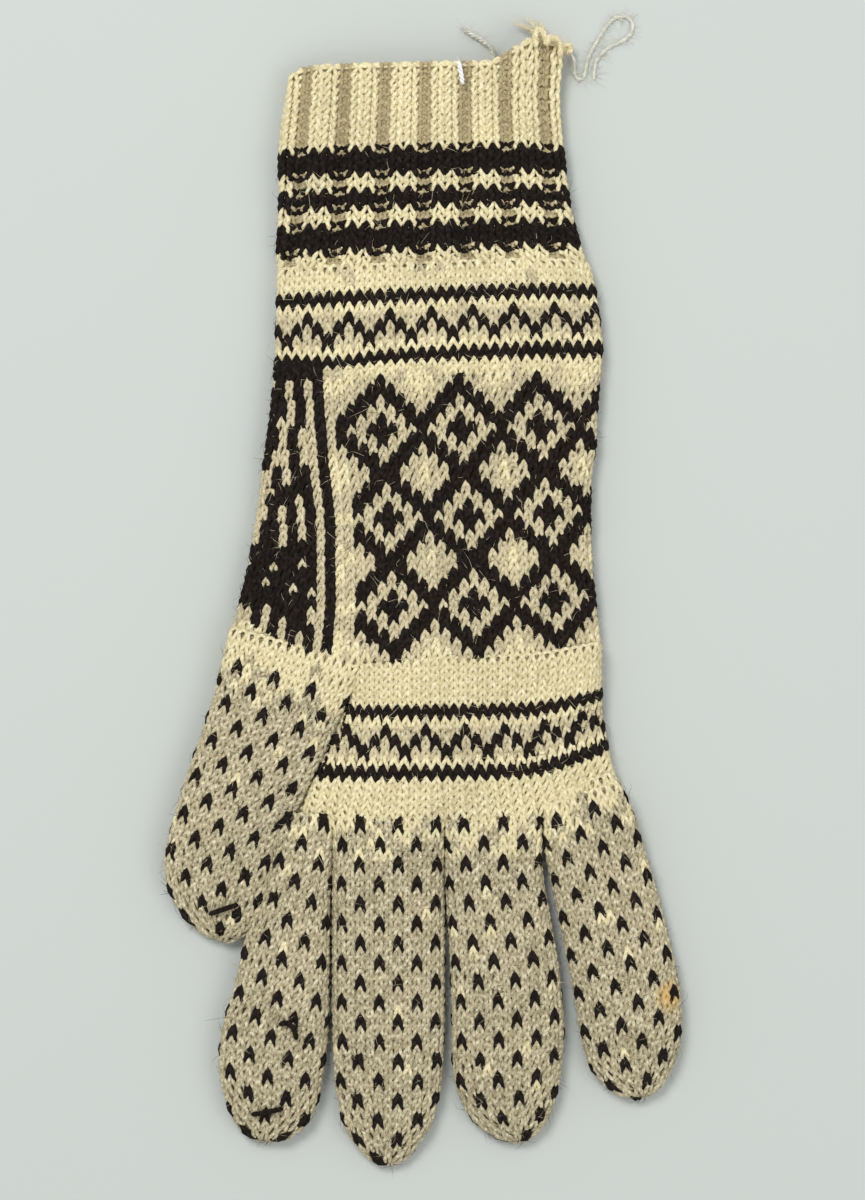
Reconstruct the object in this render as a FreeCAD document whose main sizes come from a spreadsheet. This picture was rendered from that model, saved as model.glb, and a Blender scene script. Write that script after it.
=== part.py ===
# Knitted five-finger glove, lying flat with its cuff towards +Y and its fingers towards -Y.
# The fabric is a flattened tube that branches into five fingers. Each tube is a loft through
# upright stadium-shaped sections, hollowed by a second loft one wall inside it. Where the cuff,
# a finger or the thumb folds, two tubes meet at a hinge line with a V-notch above it.
# Millimetres; the origin is on the floor under the middle of the glove, +Z up.
import FreeCAD, Part
import math
import os

import Sketcher

Vector = FreeCAD.Vector
Rotation = FreeCAD.Rotation

os.makedirs("parts", exist_ok=True)
doc = FreeCAD.newDocument("knitted_glove")

# Driving sizes that more than one piece shares.
SIZES = {
    "wall": 2.4,              # thickness of the knitted fabric
    "fold_gap": 0.4,          # room on each side of a fold line
    "fold_half_angle": 40.0,  # half the V-notch above a fold line, degrees
    "seam_top_across": -27.0,     # the gusset's seam with the hand, at its cuff end
    "seam_top_along": 63.0,
    "seam_foot_across": -17.0,    # the same seam, at the thumb's crotch
    "seam_foot_along": -12.0,
    "side_reach": 80.0,       # further out than any edge of the hand
    "cut_length": 160.0,      # further than any cut has to run
    "finger_middle": 5.5,     # height of the middle of a finger
    "panel_middle": 5.95,     # the hand's middle, a little low before its underside is cut flat
}

# Sections of the tubes: centre across (x), centre along (y), width, turn about Z in degrees,
# and thickness. A section with no turn faces straight along Y.
SECTIONS = {
    "mouth": (0.0, 143.2, 72.5, 3.8, 14.0),
    "mouth_foot": (0.0, 139.7, 72.5, 3.8, 14.0),
    "rib_start": (0.0, 139.7, 71.5, 3.8, 13.0),
    "rib_end": (-0.5, 119.5, 74.0, 1.5, 13.0),
    "stripe_end": (1.75, 93.5, 80.5, 0.0, 12.0),
    "wrist_end": (3.0, 82.0, 83.0, 0.0, 12.0),
    "zigzag_end": (3.75, 63.0, 85.5, 0.0, 12.0),
    "diamond_upper": (2.0, 41.0, 87.0, 0.0, 12.0),
    "diamond_lower": (-0.75, 15.0, 89.5, 0.0, 12.0),
    "diamond_end": (-3.0, -12.0, 99.0, 0.0, 12.0),
    "palm_start": (15.0, -12.0, 63.0, 0.0, 12.0),
    "palm_end": (13.25, -24.0, 66.5, 0.0, 12.0),
    "band_end": (11.05, -43.5, 78.9, 0.0, 12.0),
    "knuckle_end": (10.0, -59.0, 92.0, 0.0, 12.0),
    "index_start": (-30.25, -59.0, 11.5, 0.0, 11.0),
    "index_fold": (-35.65, -90.0, 22.1, 0.0, 11.0),
    "index_bend": (-39.1, -114.0, 27.8, 0.0, 11.0),
    "index_wide": (-40.0, -124.0, 26.0, -8.0, 11.0),
    "index_shoulder": (-40.5, -132.0, 21.5, -8.0, 11.0),
    "index_round": (-41.3, -136.5, 13.0, -8.0, 8.5),
    "index_close": (-41.8, -138.6, 6.5, -8.0, 5.0),
    "middle_start": (-9.35, -59.0, 29.3, 0.0, 11.0),
    "middle_fold": (-9.25, -90.0, 29.5, 0.0, 11.0),
    "middle_bend": (-9.3, -117.0, 29.0, 0.0, 11.0),
    "middle_wide": (-9.35, -131.0, 25.3, 0.0, 11.0),
    "middle_shoulder": (-9.25, -138.5, 18.1, 0.0, 11.0),
    "middle_round": (-8.9, -143.2, 11.0, 0.0, 8.5),
    "middle_close": (-8.8, -145.6, 6.0, 0.0, 5.0),
    "ring_start": (18.2, -59.0, 24.6, 0.0, 11.0),
    "ring_fold": (20.65, -90.0, 28.1, 0.0, 11.0),
    "ring_bend": (22.0, -115.0, 29.6, 0.0, 11.0),
    "ring_wide": (22.1, -126.0, 26.0, 5.5, 11.0),
    "ring_shoulder": (22.9, -133.5, 18.8, 5.5, 11.0),
    "ring_round": (24.2, -137.8, 11.0, 5.5, 8.5),
    "ring_close": (24.8, -139.6, 6.0, 5.5, 5.0),
    "little_start": (43.55, -59.0, 24.9, 0.0, 11.0),
    "little_fold": (49.35, -84.0, 26.9, 0.0, 11.0),
    "little_bend": (54.1, -106.0, 28.2, 0.0, 11.0),
    "little_wide": (54.9, -117.0, 23.7, 12.0, 11.0),
    "little_shoulder": (55.75, -123.5, 17.0, 12.0, 11.0),
    "little_round": (56.5, -127.2, 11.0, 12.0, 8.5),
    "little_close": (56.8, -128.6, 6.0, 12.0, 5.0),
    "thumb_start": (-34.9, -12.0, 35.2, 0.0, 12.0),
    "thumb_fold": (-39.4, -27.0, 31.8, -19.0, 11.0),
    "thumb_bend": (-50.7, -55.0, 28.3, -19.0, 11.0),
    "thumb_wide": (-55.1, -70.0, 27.3, -19.0, 11.0),
    "thumb_shoulder": (-55.2, -78.0, 22.6, -19.0, 11.0),
    "thumb_round": (-54.6, -83.6, 15.0, -19.0, 8.5),
    "thumb_close": (-54.2, -86.2, 8.0, -19.0, 5.0),
}
SECTION_KEYS = ("across", "along", "width", "turn", "thick")

sheet = doc.addObject("Spreadsheet::Sheet", "sizes")


def add_cell(row, alias, value):
    """One labelled size: its name in column A and its value in column B."""
    sheet.set("A%d" % row, alias)
    sheet.set("B%d" % row, str(value))
    sheet.setAlias("B%d" % row, alias)


next_row = 1
for alias, value in SIZES.items():
    add_cell(next_row, alias, value)
    next_row += 1
for section, values in SECTIONS.items():
    for key, value in zip(SECTION_KEYS, values):
        add_cell(next_row, section + "_" + key, value)
        next_row += 1
doc.recompute()


def size(alias):
    return float(sheet.get(alias))


def upright_sketch(body, name, plane_role):
    """A sketch on one of the body's own origin planes."""
    sketch = body.newObject("Sketcher::SketchObject", name)
    planes = [f for f in body.Origin.OriginFeatures if f.Role == plane_role]
    sketch.AttachmentSupport = [(planes[0], "")]
    sketch.MapMode = "FlatFace"
    return sketch


def bind(target, path, expression):
    target.setExpression(path, expression)


def stadium(body, name, section, inset, middle):
    """A closed outline of two straights and two half rounds, upright across the tube."""
    sketch = upright_sketch(body, name, "XZ_Plane")
    half_span = (size(section + "_width") - size(section + "_thick")) / 2
    radius = size(section + "_thick") / 2 - (size("wall") if inset else 0)
    height = size(section + "_thick") / 2 if middle is None else size(middle)
    axis = Vector(0, 0, 1)
    left = Part.Circle(Vector(-half_span, height, 0), axis, radius)
    right = Part.Circle(Vector(half_span, height, 0), axis, radius)
    quarter = math.pi / 2
    top = height + radius
    foot = height - radius
    sketch.addGeometry([
        Part.ArcOfCircle(left, quarter, 3 * quarter),
        Part.ArcOfCircle(right, -quarter, quarter),
        Part.LineSegment(Vector(-half_span, top, 0), Vector(half_span, top, 0)),
        Part.LineSegment(Vector(-half_span, foot, 0), Vector(half_span, foot, 0)),
    ])
    sketch.addConstraint([
        Sketcher.Constraint("Tangent", 0, 1, 2, 1),
        Sketcher.Constraint("Tangent", 0, 2, 3, 1),
        Sketcher.Constraint("Tangent", 1, 1, 3, 2),
        Sketcher.Constraint("Tangent", 1, 2, 2, 2),
        Sketcher.Constraint("Equal", 0, 1),
        Sketcher.Constraint("Horizontal", 2),
    ])
    origin = -1
    sizes_of = [
        ("round", Sketcher.Constraint("Radius", 0, radius)),
        ("span", Sketcher.Constraint("DistanceX", 0, 3, 1, 3, 2 * half_span)),
        ("reach", Sketcher.Constraint("DistanceX", origin, 1, 1, 3, half_span)),
        ("height", Sketcher.Constraint("DistanceY", origin, 1, 1, 3, height)),
    ]
    for constraint_name, constraint in sizes_of:
        index = sketch.addConstraint(constraint)
        sketch.renameConstraint(index, constraint_name)
    width = "sizes." + section + "_width"
    thick = "sizes." + section + "_thick"
    bind(sketch, "Constraints.round", thick + " / 2" + (" - sizes.wall" if inset else ""))
    bind(sketch, "Constraints.span", "%s - %s" % (width, thick))
    bind(sketch, "Constraints.reach", "(%s - %s) / 2" % (width, thick))
    bind(sketch, "Constraints.height", thick + " / 2" if middle is None else "sizes." + middle)
    turn = Rotation(Vector(0, 1, 0), size(section + "_turn"))
    sketch.AttachmentOffset = FreeCAD.Placement(Vector(0, 0, 0), turn)
    bind(sketch, ".AttachmentOffset.Base.x", "sizes." + section + "_across")
    bind(sketch, ".AttachmentOffset.Base.z", "-sizes." + section + "_along")
    return sketch


def loft(body, kind, name, sections, inset, middle=None):
    """Straight-sided skin through two or more stadium sections."""
    sketches = [stadium(body, "%s_%s" % (name, s), s, inset, middle) for s in sections]
    feature = body.newObject(kind, name)
    feature.Profile = sketches[0]
    feature.Sections = [(sketch, [""]) for sketch in sketches[1:]]
    feature.Ruled = True
    return feature


def value(expression):
    """The number that an expression in the sheet's aliases stands for."""
    result = sheet.evalExpression(expression.replace("sizes.", ""))
    return float(result.Value if hasattr(result, "Value") else result)


def corner_sketch(sketch, corners):
    """A closed polygon whose corners are pairs of expressions in the sheet's aliases."""
    places = [Vector(value(x), value(y), 0) for x, y in corners]
    count = len(places)
    for i in range(count):
        sketch.addGeometry(Part.LineSegment(places[i], places[(i + 1) % count]))
    for i in range(count):
        sketch.addConstraint(Sketcher.Constraint("Coincident", i, 2, (i + 1) % count, 1))
    for i, (x, y) in enumerate(corners):
        for kind, part, text in (("DistanceX", places[i].x, x), ("DistanceY", places[i].y, y)):
            index = sketch.addConstraint(Sketcher.Constraint(kind, -1, 1, i, 1, part))
            name = "%s_%d" % (kind, i)
            sketch.renameConstraint(index, name)
            bind(sketch, "Constraints." + name, text)


def cut_away(body, sketch, name):
    """Pocket the sketch's outline right through the body, and check that it removed material."""
    doc.recompute()
    before = body.Shape.Volume
    pocket = body.newObject("PartDesign::Pocket", name)
    pocket.Profile = sketch
    pocket.SideType = "Symmetric"
    pocket.Type = "Length"
    bind(pocket, "Length", "sizes.cut_length")
    doc.recompute()
    if not body.Shape.Volume < before - 1.0:
        raise RuntimeError(name + " removed nothing")


def notch(body, section, keeps_root):
    """Trim a tube's end at a fold line: a plain gap below the hinge's axis, a V above it."""
    sketch = upright_sketch(body, "%s_%s_outline" % (body.Name, section), "YZ_Plane")
    turn = Rotation(Vector(0, 1, 0), size(section + "_turn"))
    sketch.AttachmentOffset = FreeCAD.Placement(Vector(0, 0, 0), turn)
    bind(sketch, ".AttachmentOffset.Base.x", "sizes." + section + "_along")
    bind(sketch, ".AttachmentOffset.Base.z", "sizes." + section + "_across")
    sign = "" if keeps_root else "-"
    away = "-" if keeps_root else ""
    axis_height = "sizes.%s_thick / 2" % section
    over_top = "sizes.%s_thick + 2" % section
    notch_reach = "(sizes.%s_thick / 2 + 2) * tan(sizes.fold_half_angle * 1 deg)" % section
    corner_sketch(sketch, [
        (away + "3", "-2"),
        (sign + "sizes.fold_gap", "-2"),
        (sign + "sizes.fold_gap", axis_height),
        (sign + "(sizes.fold_gap + %s)" % notch_reach, over_top),
        (away + "3", over_top),
    ])
    cut_away(body, sketch, "%s_%s_notch" % (body.Name, section))


def tube(name, sections, root_fold=None, tip_fold=None, middle=None):
    """A hollow stretch of knitting through its sections, trimmed where it meets a fold."""
    body = doc.addObject("PartDesign::Body", name)
    body.Label = name
    loft(body, "PartDesign::AdditiveLoft", name + "_outside", sections, False, middle)
    loft(body, "PartDesign::SubtractiveLoft", name + "_inside", sections, True, middle)
    if root_fold:
        notch(body, root_fold, keeps_root=False)
    if tip_fold:
        notch(body, tip_fold, keeps_root=True)
    return body


def closed_tip(name, sections):
    """The gathered last rounds that close a finger: a solid, rounded end."""
    body = doc.addObject("PartDesign::Body", name)
    body.Label = name
    loft(body, "PartDesign::AdditiveLoft", name + "_cap", sections, False, "finger_middle")
    return body


def gusset_cut(body, side):
    """Cut the hand's tube along the gusset's seam; side is the sign of the x that goes."""
    sketch = upright_sketch(body, body.Name + "_seam", "XY_Plane")
    far = "%s sizes.side_reach" % side
    corner_sketch(sketch, [
        ("sizes.seam_top_across", "sizes.seam_top_along + 1"),
        (far, "sizes.seam_top_along + 1"),
        (far, "sizes.seam_foot_along - 1"),
        ("sizes.seam_foot_across", "sizes.seam_foot_along - 1"),
    ])
    cut_away(body, sketch, body.Name + "_seam_cut")


def underside_cut(body, top, foot):
    """Cut everything under the floor away, so that the tube rests on a true plane."""
    sketch = upright_sketch(body, body.Name + "_underside", "YZ_Plane")
    upper, lower = "sizes.%s_along + 1" % top, "sizes.%s_along - 1" % foot
    corner_sketch(sketch, [(lower, "-2"), (upper, "-2"), (upper, "0"), (lower, "0")])
    cut_away(body, sketch, body.Name + "_underside_cut")


nodes = []

# Cuff: folds about the line where the striped rib meets the wrist.
nodes.append(tube("cast_on_edge", ["mouth", "mouth_foot"]))
nodes.append(tube("cuff_rib", ["rib_start", "rib_end"]))
nodes.append(tube("striped_rib", ["rib_end", "stripe_end"], tip_fold="stripe_end"))

# Hand: one continuous tube from the wrist to where the fingers divide.
HAND_SECTIONS = ["zigzag_end", "diamond_upper", "diamond_lower", "diamond_end"]
nodes.append(tube("wrist_band", ["stripe_end", "wrist_end"], root_fold="stripe_end"))
nodes.append(tube("upper_zigzag_band", ["wrist_end", "zigzag_end"]))
diamond_panel = tube("diamond_panel", HAND_SECTIONS, middle="panel_middle")
gusset_cut(diamond_panel, "-")
underside_cut(diamond_panel, HAND_SECTIONS[0], HAND_SECTIONS[-1])
thumb_gusset = tube("thumb_gusset", HAND_SECTIONS)
gusset_cut(thumb_gusset, "+")
nodes.append(diamond_panel)
nodes.append(thumb_gusset)
nodes.append(tube("palm_band", ["palm_start", "palm_end"]))
nodes.append(tube("lower_zigzag_band", ["palm_end", "band_end"]))
nodes.append(tube("knuckle_band", ["band_end", "knuckle_end"]))

# Fingers and thumb: a root fixed to the hand, a middle part, an end part and a closed tip.
DIGITS = ("index", "middle", "ring", "little", "thumb")
for digit in DIGITS:
    start, fold, bend, wide, shoulder, around, close = [
        digit + "_" + place
        for place in ("start", "fold", "bend", "wide", "shoulder", "round", "close")
    ]
    nodes.append(tube(digit + "_root", [start, fold], tip_fold=fold))
    nodes.append(tube(digit + "_middle_part", [fold, bend], root_fold=fold, tip_fold=bend))
    nodes.append(tube(digit + "_end_part", [bend, wide, shoulder], root_fold=bend))
    nodes.append(closed_tip(digit + "_tip", [shoulder, around, close]))


# Small yarns that lie on the fabric: straight rods, each a little over the surface it lies on.
RODS = {
    "marker_thread": {"radius": 0.5, "start": (9.5, 144.0, 14.6), "end": (9.5, 137.8, 14.6)},
    "thumb_tip_yarn": {"radius": 0.8, "start": (-55.5, -79.0, 11.9), "end": (-48.5, -77.0, 11.9)},
    "index_tip_yarn": {"radius": 0.8, "start": (-44.5, -131.0, 11.9), "end": (-36.5, -130.0, 11.9)},
}


def add_sizes(values):
    """More cells at the end of the sheet."""
    row = len(sheet.getUsedCells()) // 2 + 1
    for alias, amount in values.items():
        add_cell(row, alias, amount)
        row += 1
    doc.recompute()


def rod(name, radius, start, end):
    """A straight cylinder between two points."""
    run = Vector(*end) - Vector(*start)
    piece = doc.addObject("Part::Cylinder", name)
    piece.Label = name
    add_sizes({name + "_radius": radius, name + "_length": run.Length})
    bind(piece, "Radius", "sizes." + name + "_radius")
    bind(piece, "Height", "sizes." + name + "_length")
    piece.Placement = FreeCAD.Placement(Vector(*start), Rotation(Vector(0, 0, 1), run))
    return piece


for name, dimensions in RODS.items():
    nodes.append(rod(name, **dimensions))

# The knot at the cuff's corner, and the tie yarn that leaves it: a doubled-back strand, then an
# open loop on the floor beside the cuff. The points are the route's corners.
KNOT_CENTRE = Vector(37.6, 146.2, 4.2)
KNOT_RADIUS = 1.7
YARN_RADIUS = 0.4
YARN_ROUTE = [
    (38.47, 144.95, 3.34), (39.4, 143.6, 2.4), (39.6, 141.8, 1.2), (39.5, 140.1, 0.6),
    (40.2, 138.7, 0.45), (41.6, 138.6, 0.45), (42.4, 139.9, 0.45), (42.6, 142.3, 0.5),
    (43.5, 145.2, 0.5), (45.5, 148.6, 0.45), (47.6, 152.2, 0.45), (50.2, 155.0, 0.45),
    (53.2, 155.3, 0.5), (55.1, 153.0, 0.5), (54.3, 150.0, 0.45), (51.5, 148.3, 0.45),
    (48.2, 146.9, 0.45), (45.7, 144.4, 0.5), (44.6, 141.3, 0.5), (44.7, 138.6, 0.45),
]


def rounded_route(points):
    """Straight runs joined by tangent arcs, each as large as its two runs allow."""
    edges = []
    radii = []
    run_start = points[0]
    for before, corner, after in zip(points, points[1:], points[2:]):
        inward = (corner - before).normalize()
        outward = (after - corner).normalize()
        half_turn = inward.getAngle(outward) / 2
        shorter_run = min((corner - before).Length, (after - corner).Length)
        setback = 0.45 * shorter_run
        radius = setback / math.tan(half_turn)
        arc_start = corner - inward * setback
        arc_end = corner + outward * setback
        middle_way = (outward - inward).normalize()
        arc_middle = corner + middle_way * (radius / math.cos(half_turn) - radius)
        edges.append(Part.LineSegment(run_start, arc_start).toShape())
        edges.append(Part.Arc(arc_start, arc_middle, arc_end).toShape())
        radii.append(radius)
        run_start = arc_end
    edges.append(Part.LineSegment(run_start, points[-1]).toShape())
    return Part.Wire(edges), radii


def yarn_tube(name, points, radius):
    """A round strand swept along its route, compared with its section times its length."""
    path, radii = rounded_route([Vector(*point) for point in points])
    first = Vector(*points[0])
    section = Part.Wire(Part.makeCircle(radius, first, Vector(*points[1]) - first))
    swept = path.makePipeShell([section], True, False)
    expected = math.pi * radius ** 2 * path.Length
    print(name, "length", round(path.Length, 1), "volume", round(swept.Volume, 2),
          "expected", round(expected, 2), "radii", [round(r, 1) for r in radii])
    piece = doc.addObject("Part::Feature", name)
    piece.Label = name
    piece.Shape = swept
    return piece


knot = doc.addObject("Part::Sphere", "tie_knot")
knot.Label = "tie_knot"
add_sizes({"knot_radius": KNOT_RADIUS})
bind(knot, "Radius", "sizes.knot_radius")
knot.Placement.Base = KNOT_CENTRE
nodes.append(knot)
nodes.append(yarn_tube("tie_yarn", YARN_ROUTE, YARN_RADIUS))

doc.recompute()
for item in doc.Objects:
    if "Invalid" in item.State or "Error" in item.State:
        raise RuntimeError(item.Name + " failed")

whole = FreeCAD.BoundBox()
for node in nodes:
    shape = node.Shape
    if shape.isNull() or not shape.isValid():
        raise RuntimeError(node.Label + " has no valid shape")
    shape.exportStep("parts/%s.step" % node.Label)
    if not node.Label.startswith("tie_"):
        whole.add(shape.BoundBox)
print("glove", [round(edge, 2) for edge in (whole.XMin, whole.XMax, whole.YMin, whole.YMax,
                                              whole.ZMin, whole.ZMax)])
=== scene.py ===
# Knitted five-finger glove, laid flat: every stitch is a bend of one yarn that runs round its tube.
# Sizes below are in millimetres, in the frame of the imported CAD, and MM turns them into metres.
import math

import bpy
import numpy as np
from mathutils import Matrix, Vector


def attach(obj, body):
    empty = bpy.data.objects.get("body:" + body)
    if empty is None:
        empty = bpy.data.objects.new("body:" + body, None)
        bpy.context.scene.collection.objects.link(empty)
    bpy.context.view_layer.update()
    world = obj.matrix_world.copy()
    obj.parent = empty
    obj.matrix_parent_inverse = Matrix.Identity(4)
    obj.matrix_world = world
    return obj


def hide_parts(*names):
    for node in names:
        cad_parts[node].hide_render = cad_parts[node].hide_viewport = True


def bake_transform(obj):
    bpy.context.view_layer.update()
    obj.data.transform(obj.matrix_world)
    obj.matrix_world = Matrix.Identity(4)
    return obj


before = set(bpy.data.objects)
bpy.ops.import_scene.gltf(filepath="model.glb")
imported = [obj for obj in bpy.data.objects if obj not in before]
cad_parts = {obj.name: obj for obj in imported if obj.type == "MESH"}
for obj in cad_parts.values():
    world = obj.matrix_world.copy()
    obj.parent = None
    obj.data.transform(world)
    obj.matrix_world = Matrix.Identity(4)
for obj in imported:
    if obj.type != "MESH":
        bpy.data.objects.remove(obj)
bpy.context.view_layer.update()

MM = 0.001
PATTERNED = 2.56        # height of a course of two-coloured knitting
PLAIN = 2.12            # height of a course of plain knitting
LOOP = 0.92             # from a stitch's middle to its two ends, in course heights
LOOP_TOP = 0.7 * LOOP   # from a stitch's middle to the point of its V, in course heights
LEG_LEAN = 0.29         # how far its legs lean over, as a share of its width
LEG_RISE = 0.52         # how far its legs stand out, and its ends lie back
END_TILT = 0.24         # how much further back its lower end lies, and less its upper one
JITTER = 0.035          # how much stitches differ
YARN = 0.60             # radius of the knitting yarn
YARN_SHARE = 0.224      # and its largest radius as a share of a stitch's width
BOLD_YARN = 0.28        # the dark yarn is thicker by this share,
BOLD_SPREAD = 0.16      # its stitches are longer by this share,
BOLD_RISE = 0.14        # and their legs stand out this much further
FIBRE = (0.05, 0.035)   # radius of a loose fibre at its root and at its middle
FIBRE_SIDES = (0.5, 2.6, 4.7)   # angles of the corners of its cross-section
WALL_MIDDLE = 1.2       # the yarn weaves about a surface this far inside the glove's outside
BACKING_DEPTH = 0.15    # and the backing, a sheet of painted shade for the gaps between stitches, lies this much further in
SAMPLES = 12            # points along the yarn in one stitch
SIDES = 6               # sides of the yarn's cross-section
FLOOR_GAP = 0.05        # no fibre or yarn reaches lower than this
CHUNK = 30              # stitches in one strip of the layout for baking
YARN_BAND = (0.04, 0.74)        # where the yarn starts in such a strip, and its height there
BACKING_BAND = (0.84, 0.95)     # where the backing starts and ends in it
# The fourth and fifth are painted shade in the gaps between stitches, the fourth with the brown
# floats there; in the ribs the third is painted shade on the stitches that lie back.
CREAM, BROWN, STRANDED_AND_SHADE, FLOATS_AND_SHADE, GAP_SHADE = range(5)    # the knitting's materials, in order

random = np.random.default_rng(23)


# ---- smooth lines
def smooth(at, places, values):
    """A curve through the values, with no overshoot, and straight beyond its two ends."""
    at = np.asarray(at, float)
    places = np.asarray(places, float)
    values = np.asarray(values, float)
    steps = np.diff(places)
    slopes = np.diff(values) / steps
    product = slopes[:-1] * slopes[1:]
    total = slopes[:-1] + slopes[1:]
    inner = np.where(product > 0, 2 * product / np.where(total == 0, 1, total), 0)
    tangents = np.concatenate([slopes[:1], inner, slopes[-1:]])
    i = np.clip(np.searchsorted(places, at, side="right") - 1, 0, len(steps) - 1)
    t = (at - places[i]) / steps[i]
    c = np.clip(t, 0, 1)
    inside = ((1 + 2 * c) * (1 - c) ** 2 * values[i] + c ** 2 * (3 - 2 * c) * values[i + 1]
              + steps[i] * c * (1 - c) * ((1 - c) * tangents[i] - c * tangents[i + 1]))
    end = np.where(t > 1, tangents[i + 1], tangents[i])
    return inside + (t - c) * steps[i] * end


def ease(at, start, end):
    """0 before start, 1 after end, and smooth in between."""
    t = np.clip((np.asarray(at, float) - start) / (end - start), 0, 1)
    return t * t * (3 - 2 * t)


def unit(vectors):
    """The vectors, each made one long."""
    return vectors / np.maximum(np.linalg.norm(vectors, axis=-1, keepdims=True), 1e-9)


# ---- tubes
TURNS = 720             # points round a tube's section
ANGLES = np.linspace(0, 2 * math.pi, TURNS + 1)
STEPS = np.arange(TURNS + 1)
THINNEST = (0.3, 0.4)   # least half width and half height of a section, where a tube closes
STRETCH = (0.85, 1.7)   # how far a stitch may shrink or grow where its course is lifted
TIP_SQUASH = 0.12       # how much of a stitch's length is left beyond a closed tube's end


def outline(upper, lower):
    """Across and height of a tube's section, from its left edge over the top and back below."""
    across = -np.cos(ANGLES)
    height = np.sin(ANGLES)
    power = np.where(height >= 0, upper, lower)
    return (np.sign(across) * np.abs(across) ** (2 / power),
            np.sign(height) * np.abs(height) ** (2 / power))


class Tube:
    """A flattened tube through stations: x, y, width, turn, height of its top and of its waist.
    upper and lower say how square its section is, and lean tips its top to a side. lift moves a
    course along the tube, and relief raises its top. boxy says how far the section at s is squared
    off, where the tube grows out of another. Stitches stand straight in an upright tube, and a
    closed one lets none past its end."""

    def __init__(self, stations, upper=2.5, lower=3.4, lean=0.0, lift=None, relief=None, boxy=None,
                 upright=False, closed=False):
        self.columns = np.array(stations, float).T
        x, y = self.columns[:2]
        self.along = np.concatenate([[0], np.cumsum(np.hypot(np.diff(x), np.diff(y)))])
        self.across, self.height = outline(upper, lower)
        self.box_across, self.box_height = outline(7.0, 5.0)
        self.lean, self.lift, self.relief = lean, lift, relief
        self.boxy, self.upright, self.closed = boxy, upright, closed

    def shape(self, s):
        """x, y, width, turn, top and waist at s along the tube."""
        return [smooth(s, self.along, column) for column in self.columns]

    def at_y(self, y):
        """How far along the tube its middle line reaches y."""
        fine = np.linspace(-6, self.along[-1] + 4, 2000)
        return np.interp(-np.asarray(y, float), -smooth(fine, self.along, self.columns[1]), fine)

    def surface(self, s, index, course=None):
        """Points at s along the tube; index runs round its section from the left, over the top.
        A stitch that reaches over to other sections keeps the outline of its own course."""
        course = s if course is None else course
        index = np.mod(index, TURNS)
        across = np.interp(index, STEPS, self.across)
        height = np.interp(index, STEPS, self.height)
        if self.boxy:
            share = self.boxy(course)
            across = across + share * (np.interp(index, STEPS, self.box_across) - across)
            height = height + share * (np.interp(index, STEPS, self.box_height) - height)
        x, y, width, turn, top, waist = self.shape(s)
        if self.upright:
            x, width = (smooth(course, self.along, self.columns[k]) for k in (0, 2))
        turn = np.radians(turn)
        q = np.maximum(width / 2 - WALL_MIDDLE, THINNEST[0]) * across
        q = q + self.lean * height * (1 + across * np.sign(self.lean)) / 2
        rise = np.where(height > 0, np.maximum(top - WALL_MIDDLE - waist, THINNEST[1]),
                        np.maximum(waist - WALL_MIDDLE, THINNEST[1]))
        z = waist + rise * height
        px = x + q * np.cos(turn)
        py = y + q * np.sin(turn)
        if self.relief:
            z = z + self.relief(px, py) * ease(height, 0.0, 0.7)
        return np.stack([px, py, z], axis=-1)

    def section(self, s):
        """The closed outline of the tube at s."""
        return self.surface(np.full(TURNS + 1, float(s)), STEPS - 1e-6 * (STEPS == TURNS))

    def ring(self, s):
        """Length round the section at s, up to each of its sampled angles."""
        edge = self.section(s)
        return np.concatenate([[0], np.cumsum(np.linalg.norm(np.diff(edge, axis=0), axis=1))])

    def reach_of_x(self, s, x, lengths, below=False):
        """How far round the section its surface crosses x: on top, or below."""
        edge = self.section(s)[:, 0]
        half = TURNS // 2
        if below:
            return np.interp(-x, -edge[half:], lengths[half:])
        return np.interp(x, edge[:half + 1], lengths[:half + 1])

    def place(self, s, reach, lengths, v, n):
        """Points whose distance round the ring is reach, v further along and n outward."""
        index = np.interp(np.mod(reach, lengths[-1]), lengths, STEPS)
        course = np.full_like(index, float(s))
        if self.lift:
            x = self.surface(course, index)[..., 0]
            v = v * np.clip(1 + (self.lift(s + 1, x) - self.lift(s - 1, x)) / 2, *STRETCH)
            course = course + self.lift(s, x)
        along = course + v
        if self.closed:
            last = self.along[-1]
            along = np.minimum(along, last + TIP_SQUASH * np.maximum(along - last, 0))
        points = self.surface(along, index, course)
        round_it = self.surface(along, index + 2, course) - self.surface(along, index - 2, course)
        down_it = (self.surface(along + 0.5, index, course)
                   - self.surface(along - 0.5, index, course))
        normals = unit(np.cross(down_it, round_it))
        return points + normals * np.asarray(n)[..., None], normals


# ---- knitting
def new_object(name, data):
    thing = bpy.data.objects.new(name, data)
    bpy.context.collection.objects.link(thing)
    return thing


def layout(*corners):
    """The four corners of each quad in a texture layout, from the two coordinates of each."""
    pairs = [np.stack(np.broadcast_arrays(*corner), axis=-1) for corner in corners]
    return np.stack(pairs, axis=-2)


def between(values, u, first, otherwise):
    """What the values of a course's stitches come to at u, from wale first on."""
    if values is None:
        return otherwise
    places = first + np.arange(-1, len(values) + 1)
    return np.interp(u, places, np.concatenate([values[-1:], values, values[:1]]))


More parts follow.
